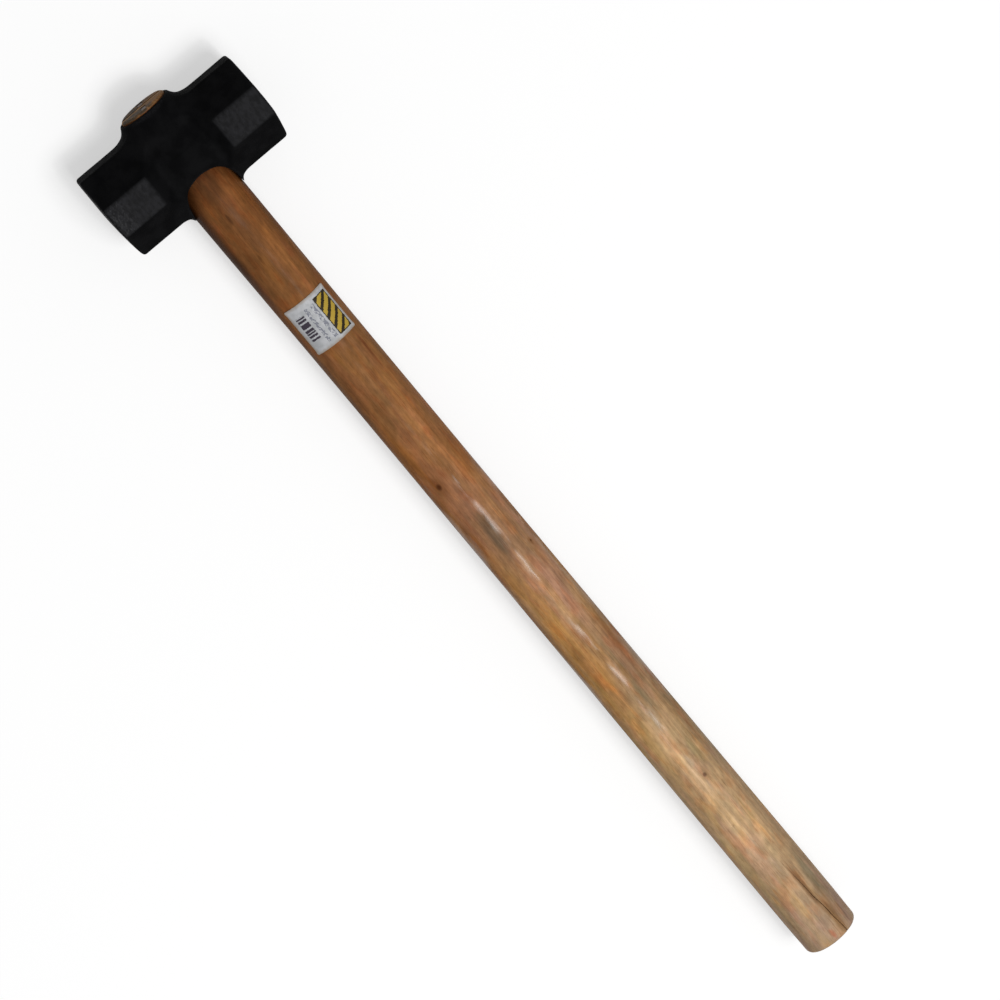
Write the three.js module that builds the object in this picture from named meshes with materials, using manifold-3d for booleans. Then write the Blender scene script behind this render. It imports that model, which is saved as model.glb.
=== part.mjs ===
// Sledgehammer lying on its side: a forged double-faced head on a long wooden handle.
// The handle runs along X with the head at +X, and the striking faces look along +Y and -Y.
// The origin is under the middle of the tool, on the surface it lies on. Units are millimetres.

import * as THREE from 'three';
import { mergeVertices } from 'three/addons/utils/BufferGeometryUtils.js';
import Module from 'manifold-3d';

const wasm = await Module();
wasm.setup();

// Driving dimensions
const overallLength = 800;
const headLength = 139;
const headWidth = 69.6;
const sideFlatWidth = 24.1;
const neckDiameter = 43.9;
const tenonTopDiameter = 37.8;
const tenonWaistDiameter = 35.2;
const clearance = 0.3;
const overrun = 6;

// Head: face bevels, deepest towards the handle, then waist and eye walls
const faceBevel = 3;
const faceBevelDepth = 2.4;
const heelBevel = 2;
const edgeRound = 0.9;
const neckOuter = 33.5;
const neckInner = 14;
const waistDepth = 20;
const cheekWall = 6.6;
const cheekSpread = 3;
const collarRise = 9.8;
const collarLip = 0.9;
const collarFillet = 14;
const archDrop = 12.3;
const archInset = 0.7;
const skirtDrop = 5;
const skirtWall = 0.8;
const skirtFillet = 7.5;
const skirtReach = 45;

// Handle: how it seats in the eye and how far it stands out of it
const seatHeight = 6.2;
const seatRadius = 18.2;
const waistRise = 8;
const woodProud = 2.1;
const topRound = 1.3;
const buttRound = 4;

// Wooden wedge in the saw kerf
const wedgeTop = 6;
const wedgeTip = 1.6;
const wedgeDepth = 46;
const wedgeInset = 0.4;

// Barbed steel wedges, one across each half of the tenon
const steelTop = 3.2;
const steelTip = 0.9;
const steelDepth = 24;
const steelWidth = 10.5;
const steelMargin = 1.6;
const steelInset = 0.5;
const barbDepth = 0.45;
const barbCount = 5;

// Paper label on the handle
const labelLength = 39.5;
const labelWidth = 37.5;
const labelSetback = 95.5;
const labelThickness = 0.3;
const labelCorner = 3;

// Handle thickness: distance from the shoulder as a share of the grip, then the share of the neck radius
const gripShares = [
  [0, 1],
  [0.07, 1],
  [0.12, 0.989],
  [0.17, 0.982],
  [0.24, 0.974],
  [0.46, 0.975],
  [0.71, 0.993],
  [0.83, 1.009],
  [0.93, 1.022],
  [0.98, 1.013],
  [1, 1.005],
];

// Most of a side that one rounded corner may take, and the weld distance as a share of the clearance
const cornerShare = 0.45;
const weldShare = 0.001;

// Squareness of the arch: 2 is an ellipse, and more has fuller shoulders
const archPower = 4;

// Steps of the round and smooth shapes
const roundSteps = 72;
const gripSteps = 30;
const filletSteps = 6;
const rimSteps = 3;
const waistSteps = 10;
const cornerSteps = 2;
const labelSteps = 20;
const labelRuns = 5;

// Places worked out from the sizes, measured from the centre of the head
const flatHalf = headWidth / 2;
const pollReach = flatHalf + sideFlatWidth / 2;
const neckRadius = neckDiameter / 2;
const tenonTopRadius = tenonTopDiameter / 2;
const waistRadius = tenonWaistDiameter / 2;
const mouthRadius = neckRadius + clearance;
const cheekRadius = mouthRadius + cheekWall;
const collarRadius = tenonTopRadius + clearance + collarLip;
const collarTop = flatHalf + collarRise;
const woodTop = collarTop + woodProud;
const buttEnd = woodTop - overallLength;
const skirtEnd = -flatHalf - skirtDrop;
const seatTop = seatHeight - archDrop;
const kerfFloor = woodTop - wedgeInset - wedgeDepth - clearance;

const { lerp, mapLinear, smoothstep } = THREE.MathUtils;

// Share of a quarter-round fillet's reach at a share of its height
function filletShare(heightShare) {
  return 1 - Math.sqrt(1 - (1 - heightShare) ** 2);
}

// Whole steps from 0 to 1
function stepShares(count) {
  return Array.from({ length: count + 1 }, (_, i) => i / count);
}

// Closed skin over rings of equal count that turn counter-clockwise about the loft's direction
function skin(rings) {
  const count = rings[0].length;
  const points = rings.flat();
  const faces = [];
  for (let ring = 0; ring + 1 < rings.length; ring += 1) {
    for (let i = 0; i < count; i += 1) {
      const a = ring * count + i;
      const b = ring * count + ((i + 1) % count);
      faces.push(a, b, b + count, a, b + count, a + count);
    }
  }
  const middle = (ring) => ring.reduce((sum, p) => sum.add(p), new THREE.Vector3()).divideScalar(count);
  const first = points.push(middle(rings[0])) - 1;
  const last = points.push(middle(rings[rings.length - 1])) - 1;
  const start = (rings.length - 1) * count;
  for (let i = 0; i < count; i += 1) {
    const next = (i + 1) % count;
    faces.push(first, next, i, last, start + i, start + next);
  }
  return new THREE.BufferGeometry().setFromPoints(points).setIndex(faces);
}

// Signed volume of an indexed geometry, negative where its faces look inwards
function signedVolume(positions, faces) {
  const corner = (i) => new THREE.Vector3().fromArray(positions, 3 * i);
  let volume = 0;
  for (let i = 0; i < faces.length; i += 3) {
    volume += corner(faces[i]).dot(corner(faces[i + 1]).cross(corner(faces[i + 2])));
  }
  return volume;
}

// Solid of a closed geometry, with its faces turned outwards
function toSolid(geometry) {
  const bare = geometry.clone();
  bare.deleteAttribute('normal');
  bare.deleteAttribute('uv');
  const merged = mergeVertices(bare, clearance * weldShare);
  const positions = merged.getAttribute('position').array;
  const faces = [];
  const index = merged.getIndex().array;
  for (let i = 0; i < index.length; i += 3) {
    const [a, b, c] = index.slice(i, i + 3);
    if (a !== b && b !== c && c !== a) faces.push(a, b, c);
  }
  if (signedVolume(positions, faces) < 0) faces.reverse();
  return new wasm.Manifold(new wasm.Mesh({
    numProp: 3,
    vertProperties: new Float32Array(positions),
    triVerts: new Uint32Array(faces),
  }));
}

// Named mesh of a solid
function toMesh(name, solid, color, roughness, metalness) {
  const { vertProperties, triVerts } = solid.getMesh();
  const geometry = new THREE.BufferGeometry();
  geometry.setAttribute('position', new THREE.BufferAttribute(new Float32Array(vertProperties), 3));
  geometry.setIndex(new THREE.BufferAttribute(new Uint32Array(triVerts), 1));
  geometry.computeVertexNormals();
  const mesh = new THREE.Mesh(geometry, new THREE.MeshStandardMaterial({ color, roughness, metalness }));
  mesh.name = name;
  return mesh;
}

// Solid turned about the handle's axis from an outline of [place along X, radius] points
function turned(outline) {
  const profile = outline.map(([x, radius]) => new THREE.Vector2(radius, x));
  return toSolid(new THREE.LatheGeometry(profile, roundSteps).rotateZ(-Math.PI / 2));
}

// Outline with each of its corners rounded by a short curve
function roundCorners(corners) {
  const count = corners.length;
  return corners.flatMap((corner, i) => {
    const towards = (other) => {
      const share = Math.min(edgeRound / corner.distanceTo(other), cornerShare);
      return corner.clone().lerp(other, share);
    };
    const start = towards(corners[(i + count - 1) % count]);
    const end = towards(corners[(i + 1) % count]);
    return new THREE.QuadraticBezierCurve(start, corner, end).getPoints(cornerSteps);
  });
}

// Eight-sided cross-section of the head at a place along Y
function headSection(y, height, depth, reach) {
  const short = reach - height;
  const long = reach - depth;
  const corners = [
    [long, depth],
    [height, short],
    [height, -short],
    [long, -depth],
    [-long, -depth],
    [-height, -short],
    [-height, short],
    [-long, depth],
  ];
  const outline = roundCorners(corners.map(([x, z]) => new THREE.Vector2(x, z)));
  return outline.map((p) => new THREE.Vector3(p.x, y, p.y));
}

// Cross-section between the face and the middle, narrower front to back towards the eye
function bodySection(y) {
  const depth = lerp(waistDepth, flatHalf, smoothstep(Math.abs(y), neckInner, neckOuter));
  return headSection(y, flatHalf, depth, pollReach);
}

// Cross-sections of the rounded rim of a striking face, from its flat to its full size
function faceSections(side) {
  return stepShares(rimSteps).map((share) => {
    const inset = faceBevel * filletShare(share);
    const level = headSection(0, flatHalf - inset, flatHalf - inset, pollReach - inset * Math.SQRT2);
    return level.map((p) => {
      const heel = heelBevel * Math.max(0, -p.x / flatHalf);
      const y = headLength / 2 - (faceBevelDepth + heel) * share;
      return new THREE.Vector3(p.x + heel * filletShare(share), side * y, p.z);
    });
  });
}

// Both striking ends in one bar of eight-sided sections
function pollBar() {
  const neck = stepShares(waistSteps).map((share) => lerp(neckOuter, neckInner, share));
  return toSolid(skin([
    ...faceSections(-1),
    ...neck.map((y) => bodySection(-y)),
    ...neck.reverse().map((y) => bodySection(y)),
    ...faceSections(1).reverse(),
  ]));
}

// Oval ring about the handle's axis, cut level at a greatest depth
function ovalRing(x, radiusY, radiusZ, depth = radiusZ) {
  return Array.from({ length: roundSteps }, (_, i) => {
    const angle = (2 * Math.PI * i) / roundSteps;
    const z = THREE.MathUtils.clamp(radiusZ * Math.sin(angle), -depth, depth);
    return new THREE.Vector3(x, radiusY * Math.cos(angle), z);
  });
}

// Wall of the eye: a belly that tapers up into a collar with a wide fillet
function eyeTower() {
  const belly = cheekRadius + cheekSpread;
  const depthAt = (x) => mapLinear(x, 0, collarTop, cheekRadius, collarRadius);
  const rings = [
    ovalRing(-flatHalf / 2, mouthRadius, mouthRadius),
    ovalRing(-archDrop, belly, cheekRadius),
  ];
  for (const share of stepShares(waistSteps)) {
    const x = flatHalf * share;
    rings.push(ovalRing(x, lerp(belly, collarRadius + collarFillet, share ** 2), depthAt(x)));
  }
  for (const share of stepShares(filletSteps).slice(1)) {
    const x = flatHalf + collarRise * share;
    rings.push(ovalRing(x, collarRadius + collarFillet * filletShare(share), depthAt(x)));
  }
  return toSolid(skin(rings));
}

// Outline of the arch over the handle at a depth, widened by a flare
function archRing(z, flare) {
  const top = flare - archDrop;
  const half = mouthRadius - archInset + flare;
  const side = stepShares(waistSteps).map((share) => {
    const x = lerp(skirtEnd, top, Math.sqrt(1 - share ** archPower));
    return new THREE.Vector3(x, half * share, z);
  });
  side.push(new THREE.Vector3(skirtEnd - overrun, half, z));
  const mirrored = side.slice(1).reverse().map((p) => new THREE.Vector3(p.x, -p.y, z));
  return [...side, ...mirrored];
}

// Arch that bares the wood at the front and back of the mouth, flared from the handle outwards
function archCut() {
  const depth = flatHalf + overrun;
  const flare = depth - mouthRadius;
  return toSolid(skin([
    archRing(-depth, flare),
    archRing(-mouthRadius, 0),
    archRing(mouthRadius, 0),
    archRing(depth, flare),
  ]));
}

// Small skirts of the eye below the head, on the sides towards the faces only
function eyeSkirts() {
  const wall = mouthRadius + skirtWall;
  const rings = stepShares(filletSteps).map((share) => {
    const drop = flatHalf + skirtDrop * share;
    const radius = wall + skirtFillet * filletShare(share);
    return ovalRing(-drop, radius, radius, skirtReach - drop);
  });
  const buried = ovalRing(-flatHalf / 2, wall + skirtFillet, wall, skirtReach - flatHalf);
  return toSolid(skin([buried, ...rings]));
}

// Seat, waist and flare of the wood in the eye, as [place, radius] points grown by a margin
function eyeOutline(margin) {
  const outline = [[-archDrop, neckRadius + margin]];
  for (const share of stepShares(filletSteps)) {
    const radius = lerp(seatRadius, waistRadius, 1 - (1 - share) ** 2);
    outline.push([lerp(seatTop, waistRise, share), radius + margin]);
  }
  for (const share of stepShares(filletSteps).slice(1)) {
    const radius = lerp(waistRadius, tenonTopRadius, share ** 2);
    outline.push([lerp(waistRise, collarTop, share), radius + margin]);
  }
  return outline;
}

function buildHead() {
  const low = skirtEnd - overrun;
  const high = collarTop + overrun;
  const eye = turned([
    [low, 0],
    [low, mouthRadius],
    ...eyeOutline(clearance),
    [high, tenonTopRadius + clearance],
    [high, 0],
  ]);
  const forging = pollBar().add(eyeTower()).add(eyeSkirts());
  return forging.subtract(eye).subtract(archCut());
}

// Radius of the handle below its shoulder
const gripCurve = new THREE.CubicInterpolant(
  gripShares.map(([place]) => place),
  gripShares.map(([, size]) => size),
  1,
);
const gripLength = -archDrop - buttEnd;
function gripRadius(x) {
  return neckRadius * gripCurve.evaluate((-archDrop - x) / gripLength)[0];
}

// Handle before its kerf and slots are cut
function handleBlank() {
  const buttRadius = gripRadius(buttEnd);
  const butt = stepShares(filletSteps).map((share) => {
    const angle = (Math.PI / 2) * share;
    const x = buttEnd + buttRound * (1 - Math.cos(angle));
    return [x, buttRadius - buttRound * (1 - Math.sin(angle))];
  });
  const grip = stepShares(gripSteps).slice(1, -1).map((share) => {
    const x = lerp(buttEnd + buttRound, -archDrop, share);
    return [x, gripRadius(x)];
  });
  return turned([
    [buttEnd, 0],
    ...butt,
    ...grip,
    ...eyeOutline(0),
    [woodTop - topRound, tenonTopRadius],
    [woodTop, tenonTopRadius - topRound],
    [woodTop, 0],
  ]);
}

// Tapered plate standing in the tenon, thick at its top, drawn as [place, half thickness] points
function taper(outline, width) {
  const shape = new THREE.Shape();
  outline.forEach(([x, half], i) => (i ? shape.lineTo(x, half) : shape.moveTo(x, half)));
  [...outline].reverse().forEach(([x, half]) => shape.lineTo(x, -half));
  return new THREE.ExtrudeGeometry(shape, { depth: width, bevelEnabled: false });
}

// Half thickness of the wooden wedge's taper at a place, carried on past both of its ends
function wedgeHalf(x) {
  const share = (woodTop - wedgeInset - x) / wedgeDepth;
  return lerp(wedgeTop, wedgeTip, share) / 2;
}

// Plate of the wooden wedge between two places, as wide as the handle and grown by a margin
function wedgePlate(low, high, margin) {
  const outline = [[low, wedgeHalf(low) + margin], [high, wedgeHalf(high) + margin]];
  const plate = taper(outline, neckDiameter);
  return toSolid(plate.translate(0, 0, -neckDiameter / 2).rotateX(Math.PI / 2));
}

// Half thickness of a steel wedge's taper at a place
function steelHalf(x) {
  const share = (woodTop - steelInset - x) / steelDepth;
  return lerp(steelTop, steelTip, share) / 2;
}

// Where the steel wedge starts, out from the middle of the tenon
const steelStart = wedgeTop / 2 + clearance + steelMargin;

function steelSolid(outline, start, width, side) {
  const plate = taper(outline, width).translate(0, 0, start);
  return toSolid(side > 0 ? plate : plate.rotateX(Math.PI));
}

// Steel wedge with a saw-tooth profile, each tooth flaring towards the top
function steelWedge(side) {
  const tip = woodTop - steelInset - steelDepth;
  const outline = [];
  for (let tooth = 0; tooth < barbCount; tooth += 1) {
    const low = tip + (steelDepth * tooth) / barbCount;
    const high = low + steelDepth / barbCount;
    outline.push([low, steelHalf(low)], [high, steelHalf(high) + barbDepth]);
  }
  return steelSolid(outline, steelStart, steelWidth, side);
}

// Slot that the steel wedge has opened in the wood
function steelSlot(side) {
  const low = woodTop - steelInset - steelDepth - clearance;
  const high = woodTop + overrun;
  const outline = [low, high].map((x) => [x, steelHalf(x) + barbDepth + clearance]);
  return steelSolid(outline, steelStart - clearance, steelWidth + clearance * 2, side);
}

function buildHandle() {
  const kerf = wedgePlate(kerfFloor, woodTop + overrun, clearance);
  return handleBlank().subtract(kerf).subtract(steelSlot(1)).subtract(steelSlot(-1));
}

function buildWoodenWedge() {
  const top = woodTop - wedgeInset;
  return wedgePlate(top - wedgeDepth, top, 0).intersect(handleBlank());
}

// Section of the label at a place round the handle, its outer side first
function labelSection(middle, half, angle) {
  const places = stepShares(labelRuns).map((share) => lerp(middle - half, middle + half, share));
  const at = (x, lift) => {
    const radius = gripRadius(x) + clearance + lift;
    return new THREE.Vector3(x, radius * Math.sin(angle), radius * Math.cos(angle));
  };
  return [
    ...places.map((x) => at(x, labelThickness)),
    ...places.reverse().map((x) => at(x, 0)),
  ];
}

// Label wrapped over the handle, with rounded corners
function buildLabel() {
  const middle = -flatHalf - labelSetback - labelLength / 2;
  const wrapRadius = gripRadius(middle) + clearance;
  const straight = labelWidth / 2 - labelCorner;
  const turns = stepShares(filletSteps).map((share) => (Math.PI / 2) * share);
  const corner = turns.map((turn) => ({
    arc: straight + labelCorner * Math.cos(turn),
    half: labelLength / 2 - labelCorner * (1 - Math.sin(turn)),
  }));
  const flat = stepShares(labelSteps).slice(1, -1).map((share) => ({
    arc: lerp(straight, -straight, share),
    half: labelLength / 2,
  }));
  const mirrored = corner.map(({ arc, half }) => ({ arc: -arc, half })).reverse();
  const sections = [...corner, ...flat, ...mirrored];
  return toSolid(skin(sections.map(({ arc, half }) => labelSection(middle, half, arc / wrapRadius))));
}

const sledgehammer = new THREE.Group();
sledgehammer.add(
  toMesh('head', buildHead(), 0x0d0d0e, 0.5, 0.2),
  toMesh('handle', buildHandle(), 0xa0693c, 0.45, 0),
  toMesh('wooden_wedge', buildWoodenWedge(), 0xc49a68, 0.7, 0),
  toMesh('steel_wedge_front', steelWedge(1), 0x8b8c8e, 0.4, 1),
  toMesh('steel_wedge_rear', steelWedge(-1), 0x8b8c8e, 0.4, 1),
  toMesh('label', buildLabel(), 0xdedcd6, 0.6, 0),
);
sledgehammer.position.set(overallLength / 2 - woodTop, 0, flatHalf);

export default sledgehammer;
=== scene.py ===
import math

import bmesh
import bpy
import numpy as np
from mathutils import Matrix, Vector, noise


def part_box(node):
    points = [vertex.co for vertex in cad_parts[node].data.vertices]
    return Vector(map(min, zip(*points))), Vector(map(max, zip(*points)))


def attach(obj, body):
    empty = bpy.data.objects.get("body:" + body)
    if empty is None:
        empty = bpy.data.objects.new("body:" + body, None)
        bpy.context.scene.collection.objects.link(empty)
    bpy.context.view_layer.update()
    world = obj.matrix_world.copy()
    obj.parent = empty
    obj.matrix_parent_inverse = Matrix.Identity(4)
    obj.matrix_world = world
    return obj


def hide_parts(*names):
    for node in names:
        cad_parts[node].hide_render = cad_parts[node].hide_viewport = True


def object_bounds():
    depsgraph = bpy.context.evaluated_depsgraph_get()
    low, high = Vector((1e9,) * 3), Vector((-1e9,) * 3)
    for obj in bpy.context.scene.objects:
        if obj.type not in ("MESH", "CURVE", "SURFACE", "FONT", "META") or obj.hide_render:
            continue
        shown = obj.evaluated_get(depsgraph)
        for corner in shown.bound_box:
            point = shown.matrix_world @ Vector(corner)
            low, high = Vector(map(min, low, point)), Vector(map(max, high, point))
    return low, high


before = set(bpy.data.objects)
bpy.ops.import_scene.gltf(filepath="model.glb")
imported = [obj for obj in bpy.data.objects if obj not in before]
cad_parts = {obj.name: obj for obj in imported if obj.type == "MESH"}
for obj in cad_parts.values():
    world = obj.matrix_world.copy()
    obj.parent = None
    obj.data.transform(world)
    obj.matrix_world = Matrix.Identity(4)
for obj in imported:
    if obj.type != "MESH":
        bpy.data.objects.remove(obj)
cad_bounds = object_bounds()

MM = 0.001

# Camera: its aim, distance and angles in degrees were fitted to the photograph's outline of the tool. Its
# lens and sensor are in millimetres.
CAMERA_TARGET = Vector((0.01325, -0.01663, 0.0348))
CAMERA_DISTANCE = 4.788
CAMERA_PITCH = 14.11
CAMERA_YAW = 1.87
CAMERA_ROLL = -39.14
CAMERA_LENS = 239.8
CAMERA_SENSOR = 36

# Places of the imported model
HEAD_LOW, HEAD_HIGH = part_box("head")
TOOL_LOW, TOOL_HIGH = cad_bounds
AXIS_Z = (HEAD_LOW.z + HEAD_HIGH.z) / 2
FLAT_HALF = (HEAD_HIGH.z - HEAD_LOW.z) / 2
COLLAR_RISE = 9.8 * MM
HEAD_X = HEAD_HIGH.x - COLLAR_RISE - FLAT_HALF

# Usual radius of the grip, which marks on the wood go by, and the gap round the tenon and the wedges, in
# millimetres
GRIP_RADIUS = 21.6
CLEARANCE = 0.3

# Grid that the head's surface is found on, rounds of moving its points onto the surface, and distance
# below the surface at which edges are felt for, in millimetres
GRID_STEP = 0.8
GRID_MARGIN = 4
SETTLE_ROUNDS = 2
PROBE = 1.6

# Striking ends of the head: side flats, necks and the bevel towards the handle, in millimetres
SIDE_FLAT = 24.1
WAIST_DEPTH = 20
NECK_OUTER = 33.5
NECK_INNER = 14
HEEL_START = 17
HEEL_SLOPE = 0.17

# Wall of the eye and its collar, in millimetres
CHEEK_WALL = 6.6
CHEEK_SPREAD = 3
COLLAR_LIP = 0.5
TOWER_FOOT = 5

# Mouth round the handle: shoulder, arches at the front and back, skirts at the sides, and grime with
# painted shade on the wood close to the mouth, in millimetres
SHOULDER_DROP = 12.3
ARCH_DROP = 15.6
ARCH_INSET = 0.7
ARCH_POWER = 4
ARCH_DEEPEST = 12
SKIRT_SINK = 0.6
SKIRT_END = 3
SKIRT_REACH = 47
SKIRT_LONGER = 2.4
SHADE_AND_GRIME_REACH = 3.5

# Widths over which the head's forms round into each other, in millimetres
EDGE_BLEND = 1.4
RIM_BLEND = 3
TOWER_BLEND = 8
COLLAR_BLEND = 19
SKIRT_BLEND = 12
MOUTH_BLEND = 2.6
BORE_BLEND = 0.7
LIP_BLEND = 1.2

# Unevenness of the surfaces: size of the waves and how far they reach in, in millimetres
FORGE_WAVES = [(19, 0.22), (6, 0.09)]
HANDLE_WAVES = [(60, 0.2), (15, 0.22)]
HANDLE_STRETCH = 8

# Axes of a point by number
ACROSS = 1
UP = 2

# Handle mesh: a ring of the CAD handle is whole from so many points, and past the rounded end at the butt
# the grip's radii are averaged over so many rings
HANDLE_SIDES = 168
HANDLE_STEP = 2 * MM
CAP_SHARES = [0.93, 0.8, 0.6, 0.4, 0.2, 0.06]
WHOLE_RING = 30
SMOOTH_RINGS = 24
ROUNDED_END = 8 * MM
SHARP_ANGLE = math.radians(38)

# Drying crack at the butt, as places along and across the handle in millimetres, and its greatest size
CRACK_PLACES = [
    (-402, -9.9),
    (-392, -9.5),
    (-383, -8.5),
    (-373, -8.1),
    (-360, -6.4),
    (-345, -5.8),
    (-326, -4.2),
]
CRACK_WIDTH = 0.8
CRACK_DEPTH = 1.7

# Dents in the handle: place along and across, radius of the tool that made it, and depth, in millimetres
DENTS = [
    (-280, 5.7, 3, 0.6),
    (-6, -19.6, 5, 0.7),
    (97, 9, 8, 0.3),
    (-161, -3, 9, 0.25),
    (262, -12, 7, 0.3),
]

# Label: a thin sheet just clear of the wood, whose corners lift from a share of the way out
LABEL_THICKNESS = 0.16 * MM
LABEL_GAP = 0.06 * MM
LABEL_CORNER = 1 * MM
LABEL_COLUMNS = 60
LABEL_ROWS = 44
LABEL_LIFT = 0.5 * MM
LIFT_START = 0.8

# Spots on the wood: share of their size that is full, grain size in millimetres of the noise that moves
# their edges, how much further it moves them along the handle than across, and how far it moves marks
SPOT_CORE = 0.3
DRIFT_SIZE = (30, 8, 8)
DRIFT_STRETCH = 4
MARK_WANDER = 4

# Rubbed paint, which on the side flats is also a painted highlight: depth below a side flat or striking
# face at which it starts to fade and at which it is gone, and how far it shows on the striking faces
FLAT_START = 0.15 * MM
FLAT_FADE = 1.5 * MM
FACE_RUB = 0.6

# Scuffs towards the striking face at +Y: where they start along the head, and where they are strongest
SCUFF_START = 48 * MM
SCUFF_FULL = 66 * MM

# 8-bit colours of the head: whole paint and rubbed paint, each with its two shades, worn edges and scuffs;
# the rubbed paint on the side flats is also a painted highlight
WHOLE_PAINT = ((11, 11, 12), (17, 17, 18))
RUBBED_PAINT_AND_HIGHLIGHT = ((27, 27, 28), (38, 38, 40))
WORN_EDGE = (36, 36, 38)
SCUFF = (74, 74, 76)

# Colour of the wood: share of the way from the butt to the top, and 8-bit colour
WOOD_ALONG = [
    (0.02, (169, 141, 113)),
    (0.1, (186, 154, 116)),
    (0.17, (187, 154, 115)),
    (0.25, (177, 146, 107)),
    (0.34, (156, 120, 84)),
    (0.42, (168, 130, 94)),
    (0.5, (152, 112, 80)),
    (0.58, (147, 101, 62)),
    (0.67, (136, 93, 54)),
    (0.9, (112, 70, 36)),
]

# Growth rings: the pith, across the handle and above the floor, and their spacing, in millimetres, and how
# far they lighten and darken the side of the wood
PITH_ACROSS = -31
PITH_UP = 12
RING_SPACING = 2.7
RING_CONTRAST = 0.045

# Drift of the growth rings: grain size in millimetres, detail and shift of the noise, and reach
RING_DRIFT = [
    ((170, 30, 30), 2, 9, 9),
    ((300, 11, 11), 1, 17, 5),
]

# Soft marks in the wood, among them painted highlights along its top and painted shade along its edges:
# place along and across, half length, half width in millimetres, tint and share
WOOD_MARKS_AND_PAINTED_LIGHT = [
    ((-115, 14), (150, 13), (1.14, 1.03, 0.66), 0.8),
    ((-60, -8), (46, 8), (1.06, 0.97, 1.25), 0.7),
    ((70, -8), (62, 6), (1.12, 1.04, 1.2), 0.5),
    ((2, 3), (34, 6), (0.56, 0.68, 0.8), 1),
    ((-140, -6), (48, 5), (0.7, 0.8, 0.86), 0.9),
    ((-122, -16), (42, 6), (0.92, 0.74, 0.64), 0.6),
    # The next three marks are painted highlights: pale streaks of sheen along the top of the handle
    ((128, -7.5), (104, 5), (1.2, 1.28, 1.44), 0.9),
    ((-45, 0), (60, 4), (1.08, 1.14, 1.26), 0.9),
    ((-215, 5.5), (62, 7), (1.2, 1.2, 1.26), 0.95),
    ((-122, 7), (56, 7), (1.2, 1.15, 1.02), 0.9),
    # The next three marks are painted highlights: pale streaks of sheen along the top of the handle
    ((-292, 4), (50, 6), (1.14, 1.16, 1.2), 0.9),
    ((-232, 2.6), (25, 1.6), (1.25, 1.3, 1.4), 0.9),
    ((-276, 2), (12, 1.7), (1.2, 1.25, 1.35), 0.8),
    ((20, -11), (50, 5), (1.1, 1.12, 1.14), 0.7),
    ((-219, -8), (18, 5), (0.76, 0.86, 0.8), 0.7),
    ((-347, -15), (22, 5), (0.68, 0.82, 0.86), 0.8),
    ((-330, 17), (90, 8), (0.8, 0.84, 0.74), 0.6),
    # The next four marks are partly painted shade and partly stain: darker along the long edges and next
    # to the head
    ((286, 20), (84, 10), (0.4, 0.36, 0.32), 0.95),
    ((296, -20.5), (50, 5), (0.68, 0.66, 0.64), 0.9),
    ((336, 16), (30, 9), (0.5, 0.45, 0.4), 0.9),
    ((200, 20.5), (170, 7), (0.74, 0.72, 0.72), 0.9),
    ((60, 17.5), (150, 9), (0.93, 0.82, 0.66), 0.8),
    ((285, -10), (100, 9), (1.3, 1.28, 1.26), 0.9),
    ((-200, -15), (52, 8), (0.86, 0.82, 0.79), 0.85),
    # Partly painted shade and partly stain: darker along the handle's long edge
    ((-220, -19), (230, 11), (0.76, 0.77, 0.8), 0.95),
    ((165, -13.5), (24, 1.6), (0.62, 0.48, 0.42), 0.85),
    ((263, 5), (9, 1.6), (0.6, 0.55, 0.5), 0.8),
    ((300, 4), (7, 1.5), (0.6, 0.55, 0.5), 0.8),
    ((-392, 0), (5, 3), (1.08, 0.66, 0.55), 0.7),
    ((-112, -20), (9, 3), (1.05, 0.66, 0.5), 0.6),
    ((-153, -19), (8, 3), (1.05, 0.66, 0.5), 0.6),
    ((225, 14), (16, 7), (1.1, 0.82, 0.7), 0.6),
    ((-6, -19.6), (5, 3), (1.7, 1.9, 2.2), 0.8),
    ((-350, -6), (34, 3.4), (0.6, 0.5, 0.42), 0.95),
    ((-384, -9), (26, 4), (0.6, 0.5, 0.42), 0.95),
    ((-372, -15), (46, 10), (0.7, 0.71, 0.75), 0.9),
]

# Soft patches all over the wood: grain size in millimetres, shift of the noise, tint and share
WOOD_PATCHES = [
    ((60, 12, 12), 3, (1.08, 1.02, 0.78), 0.7),
    ((45, 10, 10), 8, (1.05, 0.95, 1.12), 0.6),
    ((22, 7, 7), 21, (1.06, 0.84, 0.7), 0.6),
    ((17, 6, 6), 27, (0.82, 0.88, 0.88), 0.5),
]

# Fibres and clouds that shade the wood: grain size in millimetres, slant and strength
WOOD_GRAIN = [
    ((52, 4.5, 4.5), 0.03, 0.1),
    ((30, 0.6, 0.6), 0.02, 0.065),
    ((11, 5, 5), 0.5, 0.09),
    ((9, 3.5, 3.5), -0.35, 0.07),
    ((34, 13, 13), 0.15, 0.14),
]

# Pin knots: place along and across, and radius in millimetres
KNOTS = [(54, 12, 3.8), (-237, -2.5, 2.6), (-20, -15, 1.6)]

# Tints of a knot, of the grain round it, of the pores and of the grime with painted shade at the head's
# mouth
KNOT_TINT = (0.4, 0.3, 0.22)
KNOT_RING_TINT = (0.86, 0.8, 0.72)
PORE_TINT = (0.7, 0.6, 0.52)
SHADE_AND_GRIME_TINT = (0.42, 0.36, 0.32)

# Shiny lacquer: most that it shows, the places along the handle between which it comes in from the butt
# and goes out to the head, and the shares of it that are left there
SHEEN_MOST = 0.4
SHEEN_FROM_BUTT = (-240 * MM, -160 * MM)
SHEEN_TO_HEAD = (0, 120 * MM)
SHEEN_AT_BUTT = 0.25
SHEEN_AT_HEAD = 0.12

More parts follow.
